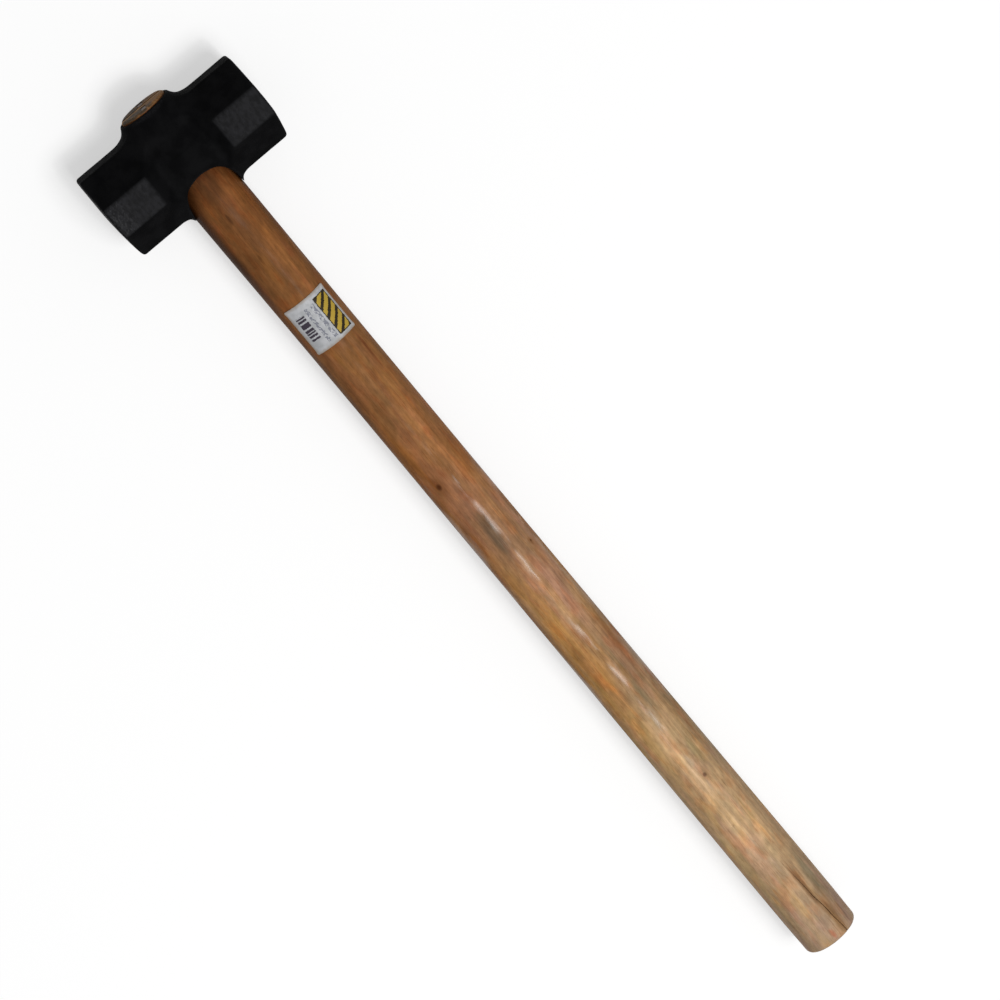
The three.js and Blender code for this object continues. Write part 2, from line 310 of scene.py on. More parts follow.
# End grain: depth over which the side of the wood gives way to it, its two shades and its dirt as 8-bit
# colours, how much further the dirt spreads with each metre towards +Y, and the share of it on the butt;
# on the tenon the dirt is also painted shade
END_EDGE = 1 * MM
END_GRAIN = ((128, 92, 58), (144, 106, 68))
END_DIRT_AND_SHADE = (78, 67, 54)
DIRT_AND_SHADE_TO_SIDE = 9
DIRT_AND_SHADE_ON_BUTT = 0.35

# 8-bit colours of the wedges: wood and steel, each with its two shades, and rust
WEDGE_WOOD = ((178, 140, 96), (132, 98, 62))
WEDGE_STEEL = ((92, 90, 88), (60, 58, 56))
RUST = (78, 50, 34)

# Print on the label, each area as shares of its width and of its length
PANEL = ((0.05, 0.38), (0.07, 0.9))
PANEL_INSIDE = ((0.07, 0.36), (0.09, 0.88))
MARK_ROWS = [((0.42, 0.5), (0.1, 0.84)), ((0.57, 0.64), (0.1, 0.84))]
BAR_BLOCK = ((0.7, 0.9), (0.26, 0.78))

# Slanted stripes along and across the label, the share of each that is yellow, and two sets of bars by
# number and share
STRIPES_ALONG = 5
STRIPES_ACROSS = 4.4
STRIPE_SHARE = 0.58
BAR_SETS = [(15, 0.5), (9, 0.4)]

# 8-bit colours of the label: paper in two shades, dirt on it, and the inks
PAPER = ((186, 187, 190), (168, 170, 172))
PAPER_DIRT = (150, 136, 120)
PANEL_INK = (44, 36, 20)
STRIPE_INK = (178, 150, 58)
MARK_INK = (122, 124, 134)
BAR_INK = (62, 56, 66)

# Lamps at one distance: tilts in degrees off the vertical along X and Y, size, and power in watts
LAMP_DISTANCE = 5.1
KEY_LAMP = (-16, -6, 2.6, 165)
SMALL_LAMP = (-16, -5, 0.45, 26)
ROOM_LIGHT = 0.3

# Floor: brightness of its colour and its glow where it is seen, and of its colour where it lights the tool
FLOOR_SIZE = 24
FLOOR_COLOUR = 0.48
FLOOR_GLOW = 0.54
FLOOR_BOUNCE = 0.35
WHITE = (1, 1, 1, 1)


def srgb(red, green, blue):
    """Linear colour of an 8-bit one"""
    def linear(value):
        share = value / 255
        return share / 12.92 if share <= 0.04045 else ((share + 0.055) / 1.055) ** 2.4
    return linear(red), linear(green), linear(blue), 1


# Meshes

def new_piece(name, points, faces, node):
    """Piece of the tool that stands for a CAD node"""
    mesh = bpy.data.meshes.new(name)
    mesh.from_pydata([tuple(p) for p in points], [], [tuple(f) for f in faces])
    mesh.validate()
    piece = bpy.data.objects.new(name, mesh)
    bpy.context.scene.collection.objects.link(piece)
    shade_smooth(piece)
    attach(piece, "root")
    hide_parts(node)
    return piece


def shade_smooth(piece):
    """Smooth shading with the sharp edges kept"""
    shape = bmesh.new()
    shape.from_mesh(piece.data)
    for face in shape.faces:
        face.smooth = True
    for edge in shape.edges:
        edge.smooth = len(edge.link_faces) == 2 and edge.calc_face_angle() < SHARP_ANGLE
    shape.to_mesh(piece.data)
    shape.free()


def store(piece, name, values):
    """Number for each vertex, which the material reads by name"""
    attribute = piece.data.attributes.new(name, "FLOAT", "POINT")
    attribute.data.foreach_set("value", np.asarray(values, np.float32))


def node_points(name):
    """Points of a CAD node's mesh"""
    return np.array([v.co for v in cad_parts[name].data.vertices])


def waves(points, layers, stretch=1):
    """Depth of uneven waves at points in millimetres, between 0 and the sum of their depths"""
    depth = np.zeros(len(points))
    for seed, (size, reach) in enumerate(layers):
        scaled = points / size
        scaled[:, 0] = scaled[:, 0] / stretch + seed * size
        values = np.array([noise.noise(Vector(p)) for p in scaled])
        depth += reach * np.clip(0.5 + values / 2, 0, 1)
    return depth


def smoothstep(low, high, value):
    """0 up to a low value, 1 from a high one, and a smooth rise between them"""
    share = np.clip((value - low) / (high - low), 0, 1)
    return share * share * (3 - 2 * share)


# Head: one smooth forging, made from a field that is negative inside it

def union(a, b, blend):
    """Both forms together, with a fillet between them"""
    share = np.clip(0.5 + 0.5 * (b - a) / blend, 0, 1)
    return b + (a - b) * share - blend * share * (1 - share)


def common(a, b, blend):
    """What two forms share, with a rounded edge"""
    return -union(-a, -b, blend)


def cut(a, b, blend):
    """First form without the second, with a rounded edge"""
    return -union(-a, b, blend)


def bar_field(x, y, z, half, face):
    """Eight-sided striking ends, narrower front to back towards the eye"""
    share = np.clip((np.abs(y) - NECK_INNER) / (NECK_OUTER - NECK_INNER), 0, 1)
    depth = WAIST_DEPTH + (half - WAIST_DEPTH) * share * share * (3 - 2 * share)
    slope = 6 * share * (1 - share) * (half - WAIST_DEPTH) / (NECK_OUTER - NECK_INNER)
    front = (np.abs(z) - depth) / np.hypot(1, slope)
    corner = (np.abs(x) + np.abs(z) - half - SIDE_FLAT / 2) / math.sqrt(2)
    bar = common(common(np.abs(x) - half, front, EDGE_BLEND), corner, EDGE_BLEND)
    heel = (np.abs(y) - face + (-x - HEEL_START) * HEEL_SLOPE) / math.hypot(1, HEEL_SLOPE)
    return common(common(bar, np.abs(y) - face, RIM_BLEND), heel, RIM_BLEND)


def tower_field(x, y, z, half, top, mouth, collar):
    """Round wall of the eye that tapers up to the collar, with no upper end"""
    deep = mouth + CHEEK_WALL
    rise = np.clip(x / top, 0, 1)
    radius_z = deep + (collar - deep) * rise
    radius_y = deep + CHEEK_SPREAD + (collar - deep - CHEEK_SPREAD) * smoothstep(0, half, x)
    round_wall = (np.hypot(y / radius_y, z / radius_z) - 1) * radius_z
    foot = -x - ARCH_DROP - TOWER_FOOT
    return common(round_wall, foot, TOWER_FOOT)


def skirt_field(x, y, z, end, mouth):
    """Core at the sides of the handle, whose fillet with the head runs out along the wood as a skirt"""
    core = np.maximum(np.hypot(y, z) - mouth + SKIRT_SINK, x)
    reach = (np.abs(z) - x - SKIRT_REACH) / math.sqrt(2)
    return common(np.maximum(core, -x - end - SKIRT_END), reach, EDGE_BLEND)


def mouth_size(profile):
    """Place of the skirts' lower end below the head's centre, and radius of the mouth"""
    return (HEAD_X - HEAD_LOW.x) / MM + SKIRT_LONGER, np.interp(-SHOULDER_DROP, *profile) + CLEARANCE


def arch_field(x, y, z, end, mouth):
    """Arch that bares the wood at the front and back of the mouth"""
    flare = np.clip(np.abs(z) - mouth, 0, None)
    rise = flare - ARCH_DROP + end
    half = mouth - ARCH_INSET + flare
    across = np.abs(y) / half
    along = np.clip(x + end, 0, None) / rise
    value = across ** ARCH_POWER + along ** 2 - 1
    slope = np.hypot(ARCH_POWER * across ** (ARCH_POWER - 1) / half, 2 * along / rise)
    return np.clip(value / np.maximum(slope, 1 / ARCH_DEEPEST), -ARCH_DEEPEST, None)


def head_field(points, profile):
    """Rough distance in millimetres from the head's surface, negative inside it

    Points are in millimetres from the head's centre, with X up the handle.
    """
    x, y, z = points
    half, face = FLAT_HALF / MM, HEAD_HIGH.y / MM
    top = (HEAD_HIGH.x - HEAD_X) / MM
    end, mouth = mouth_size(profile)
    tenon = np.interp(top, *profile) + CLEARANCE
    bar = bar_field(x, y, z, half, face)
    tower = tower_field(x, y, z, half, top, mouth, tenon + COLLAR_LIP)
    blend = TOWER_BLEND + (COLLAR_BLEND - TOWER_BLEND) * smoothstep(half / 2, half, x)
    forging = union(union(bar, tower, blend), skirt_field(x, y, z, end, mouth), SKIRT_BLEND)
    forging = common(forging, x - top, LIP_BLEND)
    bore = np.where(x < -SHOULDER_DROP, mouth, np.interp(x, *profile) + CLEARANCE)
    forging = cut(forging, np.hypot(y, z) - bore, BORE_BLEND)
    rounding = BORE_BLEND + (MOUTH_BLEND - BORE_BLEND) * smoothstep(mouth / 4, mouth, np.abs(z))
    return cut(forging, arch_field(x, y, z, end, mouth), rounding)


def surface_net(field):
    """Points, in grid steps, and quads of the surface where a field on a grid changes sign"""
    cells = tuple(n - 1 for n in field.shape)
    sums, counts, quads = np.zeros((*cells, 3)), np.zeros(cells), []
    for axis in range(3):
        ends = np.moveaxis(field, axis, 0)
        crossed = np.moveaxis((ends[:-1] < 0) != (ends[1:] < 0), 0, axis)
        edges = np.argwhere(crossed)
        first = field[tuple(edges.T)]
        step = np.eye(3, dtype=int)[axis]
        second = field[tuple((edges + step).T)]
        points = edges + np.outer(first / (first - second), step)
        ring = []
        for across, up in ((0, 0), (1, 0), (1, 1), (0, 1)):
            cell = edges.copy()
            cell[:, (axis + 1) % 3] -= across
            cell[:, (axis + 2) % 3] -= up
            np.add.at(sums, tuple(cell.T), points)
            np.add.at(counts, tuple(cell.T), 1)
            ring.append(np.ravel_multi_index(cell.T, cells))
        quad = np.stack(ring, 1)
        quads.append(np.where((first < 0)[:, None], quad, quad[:, ::-1]))
    used = np.flatnonzero(counts)
    number = np.zeros(counts.size, int)
    number[used] = np.arange(len(used))
    points = sums.reshape(-1, 3)[used] / counts.ravel()[used, None]
    return points, number[np.concatenate(quads)]


def normals_at(points, measure):
    """Field value and outward unit direction at points"""
    nudge = GRID_STEP / 4
    value = measure(points)
    ahead = [measure(points + offset) - value for offset in np.eye(3) * nudge]
    slope = np.stack(ahead, 1) / nudge
    length = np.linalg.norm(slope, axis=1)
    return value / length, slope / length[:, None]


def build_head(profile):
    """Mesh of the forging, with its edges marked for the rubbed paint"""
    low = np.array(HEAD_LOW - Vector((HEAD_X, 0, AXIS_Z))) / MM - GRID_MARGIN
    high = np.array(HEAD_HIGH - Vector((HEAD_X, 0, AXIS_Z))) / MM + GRID_MARGIN
    lines = [np.arange(a, b, GRID_STEP) for a, b in zip(low, high)]
    grid = np.meshgrid(*lines, indexing="ij", sparse=True)
    points, quads = surface_net(head_field(grid, profile))
    points = low + points * GRID_STEP

    def measure(at):
        return head_field(at.T, profile)

    for _ in range(SETTLE_ROUNDS):
        value, normal = normals_at(points, measure)
        points = points - normal * value[:, None]
    _, normal = normals_at(points, measure)
    edge = 1 + measure(points - normal * PROBE) / PROBE
    points = points - normal * waves(points, FORGE_WAVES)[:, None]
    placed = points * MM + np.array((HEAD_X, 0, AXIS_Z))
    piece = new_piece("forged_head", placed, quads, "head")
    store(piece, "edge", np.clip(edge, 0, 1))
    return piece


# Handle: turned from the radii of the CAD solid, with slight unevenness

def handle_profile():
    """Places along X and radii of the whole rings of the CAD handle"""
    points = node_points("handle")
    places, index, counts = np.unique(points[:, 0].round(6), return_inverse=True, return_counts=True)
    radii = np.zeros(len(places))
    np.maximum.at(radii, index, np.hypot(points[:, 1], points[:, 2] - AXIS_Z))
    whole = counts >= WHOLE_RING
    return places[whole], radii[whole]


def fine_profile(places, radii):
    """Closer rings, with the small angles between the CAD rings of the grip smoothed out"""
    shoulder = HEAD_X - SHOULDER_DROP * MM
    grip = places[(places > places[0] + ROUNDED_END) & (places < shoulder)]
    even = np.arange(grip[0], grip[-1], HANDLE_STEP)
    window = np.ones(SMOOTH_RINGS) / SMOOTH_RINGS
    radius = np.interp(even, places, radii)
    padded = np.pad(radius, SMOOTH_RINGS, mode="edge")
    smooth = np.convolve(padded, window, mode="same")[SMOOTH_RINGS:-SMOOTH_RINGS]
    ends = (places < grip[0]) | (places > grip[-1])
    along = np.concatenate([places[ends], even])
    size = np.concatenate([radii[ends], smooth])
    order = np.argsort(along)
    return along[order], size[order]


def turned(along, size):
    """Points and faces of a closed turned shape, with both its ends capped by rings"""
    first = [(along[0], size[0] * share) for share in reversed(CAP_SHARES)]
    last = [(along[-1], size[-1] * share) for share in CAP_SHARES]
    rings = first + list(zip(along, size)) + last
    angles = np.arange(HANDLE_SIDES) * 2 * math.pi / HANDLE_SIDES
    points = [(x, r * math.cos(a), r * math.sin(a)) for x, r in rings for a in angles]
    faces = []
    for ring in range(len(rings) - 1):
        start = ring * HANDLE_SIDES
        for i in range(HANDLE_SIDES):
            after = (i + 1) % HANDLE_SIDES
            near, far = start + i, start + after
            faces.append((near, far, far + HANDLE_SIDES, near + HANDLE_SIDES))
    end = (len(rings) - 1) * HANDLE_SIDES
    faces.append(tuple(reversed(range(HANDLE_SIDES))))
    faces.append(tuple(range(end, end + HANDLE_SIDES)))
    return np.array(points), faces


def new_cutter(shape):
    """Object of a mesh in the making, with its faces turned outwards"""
    bmesh.ops.recalc_face_normals(shape, faces=shape.faces)
    mesh = bpy.data.meshes.new("cutter")
    shape.to_mesh(mesh)
    shape.free()
    cutter = bpy.data.objects.new("cutter", mesh)
    bpy.context.scene.collection.objects.link(cutter)
    return cutter


def wedge_cutter(name, thin, wide, margin):
    """Tapered block round a wedge, a margin larger all round and open above the tenon"""
    low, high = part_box(name)
    points = node_points(name)
    middle = (low[thin] + high[thin]) / 2
    ends = []
    for end in (low.x, high.x):
        at_end = np.abs(points[:, 0] - end) < margin
        ends.append(np.abs(points[at_end, thin] - middle).max() + margin)
    slope = (ends[1] - ends[0]) / (high.x - low.x)
    corners = []
    for x in (low.x - margin, high.x + FLAT_HALF):
        for side in (-1, 1):
            for edge in (low[wide] - margin, high[wide] + margin):
                corner = [x, 0, 0]
                corner[thin] = middle + side * (ends[0] + slope * (x - low.x))
                corner[wide] = edge
                corners.append(corner)
    hull = bmesh.new()
    for corner in corners:
        hull.verts.new(corner)
    bmesh.ops.convex_hull(hull, input=hull.verts)
    return new_cutter(hull)


def cut_with(piece, cutters):
    """Cut blocks out of a piece, and delete them"""
    for cutter in cutters:
        modifier = piece.modifiers.new("cut", "BOOLEAN")
        modifier.operation = "DIFFERENCE"
        modifier.solver = "EXACT"
        modifier.object = cutter
    graph = bpy.context.evaluated_depsgraph_get()
    made = bpy.data.meshes.new_from_object(piece.evaluated_get(graph))
    piece.modifiers.clear()
    piece.data = made
    for cutter in cutters:
        bpy.data.objects.remove(cutter)


def surface_height(x, y, places, radii):
    """Height of the handle's upper side above its axis"""
    return math.sqrt(max(0, np.interp(x, places, radii) ** 2 - y ** 2))


def crack_cutter(places, radii):
    """Narrow keel along the crack's path, open upwards, widest near the butt and thin at its far end"""
    shape = bmesh.new()
    rows = []
    top = AXIS_Z + (GRIP_RADIUS + CRACK_DEPTH) * MM
    for index, (x_mm, y_mm) in enumerate(CRACK_PLACES):
        x, y = x_mm * MM, y_mm * MM
        share = math.sin(math.pi * (index + 2) / (len(CRACK_PLACES) + 2))
        height = AXIS_Z + surface_height(x, y, places, radii)
        half = CRACK_WIDTH * MM * share / 2
        left = [(x, y - half, top), (x, y - half, height)]
        right = [(x, y + half, height), (x, y + half, top)]
        keel = (x, y, height - CRACK_DEPTH * MM * share)
        rows.append([shape.verts.new(corner) for corner in (*left, keel, *right)])
    for row, following in zip(rows, rows[1:]):
        for i in range(len(row)):
            after = (i + 1) % len(row)
            shape.faces.new((row[i], row[after], following[after], following[i]))
    shape.faces.new(rows[0][::-1])
    shape.faces.new(rows[-1])
    return new_cutter(shape)


def dent_cutter(x_mm, y_mm, radius_mm, depth_mm, places, radii):
    """Ball that touches the handle's upper side a depth below its surface"""
    x, y, radius = x_mm * MM, y_mm * MM, radius_mm * MM
    outward = Vector((0, y, surface_height(x, y, places, radii)))
    middle = outward.normalized() * (outward.length + radius - depth_mm * MM)
    shape = bmesh.new()
    bmesh.ops.create_icosphere(shape, subdivisions=4, radius=radius)
    bmesh.ops.translate(shape, verts=shape.verts, vec=Vector((x, 0, AXIS_Z)) + middle)
    return new_cutter(shape)


def build_handle(places, radii):
    """Turned handle with its kerf, slots, crack and dents"""
    along, size = fine_profile(places, radii)
    points, faces = turned(along, size)
    inward = waves(points / MM, HANDLE_WAVES, HANDLE_STRETCH) * MM
    radius = np.hypot(points[:, 1], points[:, 2])
    shrink = 1 - inward / np.maximum(radius, size.min())
    points[:, 1:] *= shrink[:, None]
    points[:, 2] += AXIS_Z
    piece = new_piece("wooden_handle", points, faces, "handle")
    cutters = [wedge_cutter("wooden_wedge", UP, ACROSS, CLEARANCE * MM)]
    for name in ("steel_wedge_front", "steel_wedge_rear"):
        cutters.append(wedge_cutter(name, ACROSS, UP, CLEARANCE * MM))
    cutters.append(crack_cutter(places, radii))
    cutters.extend(dent_cutter(*dent, places, radii) for dent in DENTS)
    cut_with(piece, cutters)
    shade_smooth(piece)
    store(piece, "shade_and_grime", mouth_shade_and_grime(piece, places, radii))
    return piece


def mouth_shade_and_grime(piece, places, radii):
    """Grime with painted shade: 1 at the edge of the head's mouth, down to 0 a little way out on the wood
    """
    points = np.array([v.co for v in piece.data.vertices])
    x, y, z = ((points - np.array((HEAD_X, 0, AXIS_Z))) / MM).T
    end, mouth = mouth_size(((places - HEAD_X) / MM, radii / MM))
    clear = np.maximum(-arch_field(x, y, z, end, mouth), -end - x)
    return np.where(x < 0, 1 - smoothstep(0, SHADE_AND_GRIME_REACH, clear), 0)


# Label

def build_label(places, radii):
    """Thin sheet wrapped over the handle, with rounded corners that lift a little"""
    low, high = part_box("label")
    wrap = math.asin(high.y / (np.interp((low.x + high.x) / 2, places, radii) + CLEARANCE * MM))
    points, shares = [], []
    for row in range(LABEL_ROWS + 1):
        for column in range(LABEL_COLUMNS + 1):
            across, up = column / LABEL_COLUMNS * 2 - 1, row / LABEL_ROWS * 2 - 1
            points.append(label_point(across, up, low, high, wrap, places, radii))
            shares.append(((across + 1) / 2, (up + 1) / 2))
    wide = LABEL_COLUMNS + 1
    faces = []
    for row in range(LABEL_ROWS):
        for column in range(LABEL_COLUMNS):
            corner = row * wide + column
            faces.append((corner, corner + wide, corner + wide + 1, corner + 1))
    piece = new_piece("paper_label", points, faces, "label")
    thick = piece.modifiers.new("paper", "SOLIDIFY")
    thick.thickness = LABEL_THICKNESS
    thick.offset = 1
    store(piece, "across", [across for across, _ in shares])
    store(piece, "along", [along for _, along in shares])
    return piece


def label_point(across, up, low, high, wrap, places, radii):
    """Point of the label, its corners drawn in to a curve"""
    middle = (low.x + high.x) / 2
    half = (high.x - low.x) / 2
    arc = wrap * np.interp(middle, places, radii)
    over = max(0, abs(across) * arc - arc + LABEL_CORNER)
    inset = LABEL_CORNER - math.sqrt(max(0, LABEL_CORNER ** 2 - over ** 2))
    x = middle + up * (half - inset)
    edge = max(0, abs(up) - LIFT_START) * max(0, abs(across) - LIFT_START)
    lift = LABEL_GAP + LABEL_LIFT * edge / (1 - LIFT_START) ** 2
    radius = np.interp(x, places, radii) + lift
    angle = across * wrap
    return x, radius * math.sin(angle), AXIS_Z + radius * math.cos(angle)


# Material nodes

class Nodes:
    """Short calls that add nodes to one material"""

    def __init__(self, name):
        self.material = bpy.data.materials.new(name)
        self.material.use_nodes = True
        self.tree = self.material.node_tree
        self.shader = self.tree.nodes["Principled BSDF"]
        self.drift = None

    def add(self, kind, inputs=None, **settings):
        """Node of a kind, with its settings, and its inputs set or linked"""
        made = self.tree.nodes.new(kind)
        for key, value in settings.items():
            setattr(made, key, value)
        for key, value in (inputs or {}).items():
            self.feed(made.inputs[key], value)
        return made

    def feed(self, socket, value):
        """Link an input to another node's output, or set it"""
        if isinstance(value, bpy.types.NodeSocket):
            self.tree.links.new(value, socket)
        else:
            socket.default_value = value

    def maths(self, operation, *values):
        """Result of a sum or comparison of numbers"""
        made = self.tree.nodes.new("ShaderNodeMath")
        made.operation = operation
        for socket, value in zip(made.inputs, values):
            self.feed(socket, value)
        return made.outputs[0]

    def place(self):
        """Place of the shaded point, in metres"""
        return self.add("ShaderNodeTexCoord").outputs["Object"]

    def axes(self, vector):
        """X, Y and Z of a vector"""
        return self.add("ShaderNodeSeparateXYZ", {"Vector": vector}).outputs

    def stretched(self, scale, slant=0):
        """Place counted in grains of a size given in millimetres, turned about Z by a slant"""
        turned_place = self.add("ShaderNodeVectorRotate", {"Vector": self.place(), "Angle": slant})
        made = self.add("ShaderNodeMapping", {"Vector": turned_place.outputs[0]})
        made.inputs["Scale"].default_value = [1 / (MM * size) for size in scale]
        return made.outputs[0]

    def noise(self, size, detail=3, roughness=0.55, shift=0, slant=0):
        """Noise between about 0.3 and 0.7, with grains of a size in millimetres along X, Y and Z"""
        place = self.stretched(size, slant)
        moved = self.add("ShaderNodeVectorMath", {0: place, 1: (shift, shift, shift)})
        settings = {"Vector": moved.outputs[0], "Scale": 1, "Detail": detail, "Roughness": roughness}
        return self.add("ShaderNodeTexNoise", settings).outputs["Fac"]

    def between(self, value, low, high, out_low=0, out_high=1):
        """Value spread from one range to another, with a smooth start and end"""
        ends = {"From Min": low, "From Max": high, "To Min": out_low, "To Max": out_high}
        made = self.add("ShaderNodeMapRange", {"Value": value, **ends}, interpolation_type="SMOOTHSTEP")
        return made.outputs[0]

    def band(self, value, low, high):
        """1 between two values and 0 outside them"""
        above = self.maths("GREATER_THAN", value, low)
        below = self.maths("LESS_THAN", value, high)
        return self.maths("MULTIPLY", above, below)

    def uneven(self):
        """Uneven shift about zero, which all the spots of a material share"""
        if self.drift is None:
            place = self.stretched(DRIFT_SIZE)
            drift = self.add("ShaderNodeTexNoise", {"Vector": place, "Scale": 1, "Detail": 3})
            centred = self.add("ShaderNodeVectorMath", {0: drift.outputs["Color"], 1: (0.5, 0.5, 0.5)})
            centred.operation = "SUBTRACT"
            self.drift = centred.outputs[0]
        return self.drift

    def spot(self, centre, size, wander):
        """1 at a place on the handle and 0 beyond its half length and width, all in millimetres"""
        x, y = centre
        height = AXIS_Z / MM + math.sqrt(max(0, GRIP_RADIUS ** 2 - y ** 2))
        reach = (wander * DRIFT_STRETCH, wander, wander)
        moved = self.add("ShaderNodeVectorMath", {0: self.uneven(), 1: reach})
        moved.operation = "MULTIPLY"
        place = self.add("ShaderNodeVectorMath", {0: self.stretched((1, 1, 1)), 1: moved.outputs[0]})
        length, width = size
        near = self.add("ShaderNodeMapping", {"Vector": place.outputs[0]})
        near.inputs["Scale"].default_value = (1 / length, 1 / width, 1 / width)
        near.inputs["Location"].default_value = (-x / length, -y / width, -height / width)
        far = self.add("ShaderNodeVectorMath", {0: near.outputs[0]})
        far.operation = "LENGTH"
        return self.between(far.outputs["Value"], SPOT_CORE, 1, 1, 0)

    def mix(self, share, first, second, kind="MIX"):
        """Mix of two colours by a share, on the colour sockets of a mix node"""
        made = self.add("ShaderNodeMix", data_type="RGBA", blend_type=kind, clamp_factor=True)
        for number, value in ((0, share), (6, first), (7, second)):
            self.feed(made.inputs[number], value)
        return made.outputs[2]

    def shades(self, share, pair):
        """Mix of a pair of 8-bit colours by a share"""
        first, second = pair
        return self.mix(share, srgb(*first), srgb(*second))

    def ramp(self, value, stops):
        """Colour that runs through stops of [place, colour]"""
        made = self.add("ShaderNodeValToRGB", {"Fac": value})
        elements = made.color_ramp.elements
        while len(elements) < len(stops):
            elements.new(1)
        for element, (position, colour) in zip(elements, stops):
            element.position = position
            element.color = colour
        return made.outputs[0]

    def stored(self, name):
        """Number that the mesh holds for each vertex"""
        return self.add("ShaderNodeAttribute", attribute_name=name).outputs["Fac"]

    def bump(self, height, distance, strength=1, below=None):
        """Small relief, with its height in millimetres"""
        settings = {"Height": height, "Distance": distance * MM, "Strength": strength}
        if below is not None:
            settings["Normal"] = below
        return self.add("ShaderNodeBump", settings).outputs[0]

    def surface(self, **values):
        """Set the shader's inputs, with _ for each space in their names"""
        for key, value in values.items():
            self.feed(self.shader.inputs[key.replace("_", " ")], value)
        return self.material


# Materials

def rubbed_and_highlight_places(n, y, z):
    """1 on the side flats and less on the striking faces, down to 0 a little way below them"""
    # The side flats' lighter paint is rubbed paint and also a painted highlight
    upper = n.between(z, HEAD_HIGH.z - FLAT_FADE, HEAD_HIGH.z - FLAT_START)
    lower = n.between(z, HEAD_LOW.z + FLAT_START, HEAD_LOW.z + FLAT_FADE, 1, 0)
    out = n.maths("ABSOLUTE", y)
    face = n.between(out, HEAD_HIGH.y - FLAT_FADE, HEAD_HIGH.y - FLAT_START, 0, FACE_RUB)
    return n.maths("MAXIMUM", n.maths("MAXIMUM", upper, lower), face)


def head_paint():
    """Black satin paint on a forged surface, rubbed a little on its edges, side flats and faces, with a
    painted highlight on the side flats
    """
    n = Nodes("black_paint")
    _, y, z = n.axes(n.place())
    flat = rubbed_and_highlight_places(n, y, z)
    cloud = n.between(n.noise((12, 12, 12), 4), 0.35, 0.65)
    smear = n.between(n.noise((5, 3, 3), 4, shift=7), 0.3, 0.7)
    # Side flats lighter: rubbed paint and a painted highlight
    colour = n.mix(flat, n.shades(cloud, WHOLE_PAINT), n.shades(smear, RUBBED_PAINT_AND_HIGHLIGHT))
    speck = n.between(n.noise((1.1, 1.1, 1.1), 2), 0.35, 0.6)
    worn = n.maths("MULTIPLY", n.between(n.stored("edge"), 0.12, 0.5), speck)
    colour = n.mix(n.maths("MULTIPLY", worn, 0.4), colour, srgb(*WORN_EDGE))
    end = n.maths("MULTIPLY", n.between(y, SCUFF_START, SCUFF_FULL), flat)
    scuff = n.maths("MULTIPLY", end, n.between(n.noise((2.2, 1.3, 2), 5, 0.7, shift=5), 0.46, 0.68))
    colour = n.mix(n.maths("MULTIPLY", scuff, 0.5), colour, srgb(*SCUFF))
    grain = n.bump(n.noise((0.7, 0.7, 0.7), 3), 0.05)
    relief = n.bump(n.noise((4, 4, 4), 4), 0.2, below=grain)
    rough = n.between(n.noise((9, 9, 9), 3, shift=2), 0.3, 0.7, 0.72, 0.84)
    rough = n.maths("SUBTRACT", rough, n.maths("MULTIPLY", flat, 0.3))
    return n.surface(Base_Color=colour, Roughness=rough, Specular_IOR_Level=0.02, Normal=relief)


def tint(n, colour, factor, share):
    """Colour multiplied by a tint, as far as a share says"""
    return n.mix(share, colour, n.mix(1.0, colour, (*factor, 1), "MULTIPLY"))


def grey(n, value):
    """Grey of a brightness"""
    return n.add("ShaderNodeCombineColor", {"Red": value, "Green": value, "Blue": value}).outputs[0]


def growth_rings(n):
    """Wave through the growth rings, about a pith that lies outside the handle"""
    _, y, z = n.axes(n.stretched((1, 1, 1)))
    across = n.maths("SUBTRACT", y, PITH_ACROSS)
    up = n.maths("SUBTRACT", z, PITH_UP)
    far = n.maths("SQRT", n.maths("ADD", n.maths("POWER", across, 2), n.maths("POWER", up, 2)))
    for size, detail, shift, reach in RING_DRIFT:
        far = n.maths("ADD", far, n.maths("MULTIPLY", n.noise(size, detail, shift=shift), reach))
    return n.maths("SINE", n.maths("MULTIPLY", far, 2 * math.pi / RING_SPACING))


def wood_colour(n):
    """Reddish brown wood that fades to pale tan at the butt, with blotches, rings, fine fibres, painted
    highlights and painted shade
    """
    x, _, _ = n.axes(n.place())
    along = n.add("ShaderNodeMapRange", {"Value": x, "From Min": TOOL_LOW.x, "From Max": TOOL_HIGH.x})
    stops = [(share, srgb(*colour)) for share, colour in WOOD_ALONG]
    colour = n.ramp(along.outputs[0], stops)
    for size, shift, factor, share in WOOD_PATCHES:
        patch = n.between(n.noise(size, 3, shift=shift), 0.48, 0.66)
        colour = tint(n, colour, factor, n.maths("MULTIPLY", patch, share))
    # Marks: stains in the wood, and also painted highlights along its top and painted shade along its
    # edges
    for place, size, factor, share in WOOD_MARKS_AND_PAINTED_LIGHT:
        mark = n.spot(place, size, MARK_WANDER)
        colour = tint(n, colour, factor, n.maths("MULTIPLY", mark, share))
    shade = n.between(growth_rings(n), -1, 1, 1 - RING_CONTRAST, 1 + RING_CONTRAST)
    for size, slant, spread in WOOD_GRAIN:
        layer = n.noise(size, 4, 0.6, shift=size[0], slant=slant)
        shade = n.maths("MULTIPLY", shade, n.between(layer, 0.3, 0.7, 1 - spread, 1 + spread))
    colour = n.mix(1.0, colour, grey(n, shade), "MULTIPLY")
    pores = n.between(n.noise((13, 0.4, 0.4), 2, 0.6, shift=31), 0.55, 0.66)
    return tint(n, colour, PORE_TINT, n.maths("MULTIPLY", pores, 0.7))


def knots(n, colour):
    """Small dark knots, each in a wider ring of slightly darker grain"""
    for x, y, radius in KNOTS:
        ring = n.spot((x, y), (radius * 3, radius * 2.2), 1)
        colour = tint(n, colour, KNOT_RING_TINT, ring)
        colour = tint(n, colour, KNOT_TINT, n.spot((x, y), (radius, radius * 0.8), 0.5))
    return colour


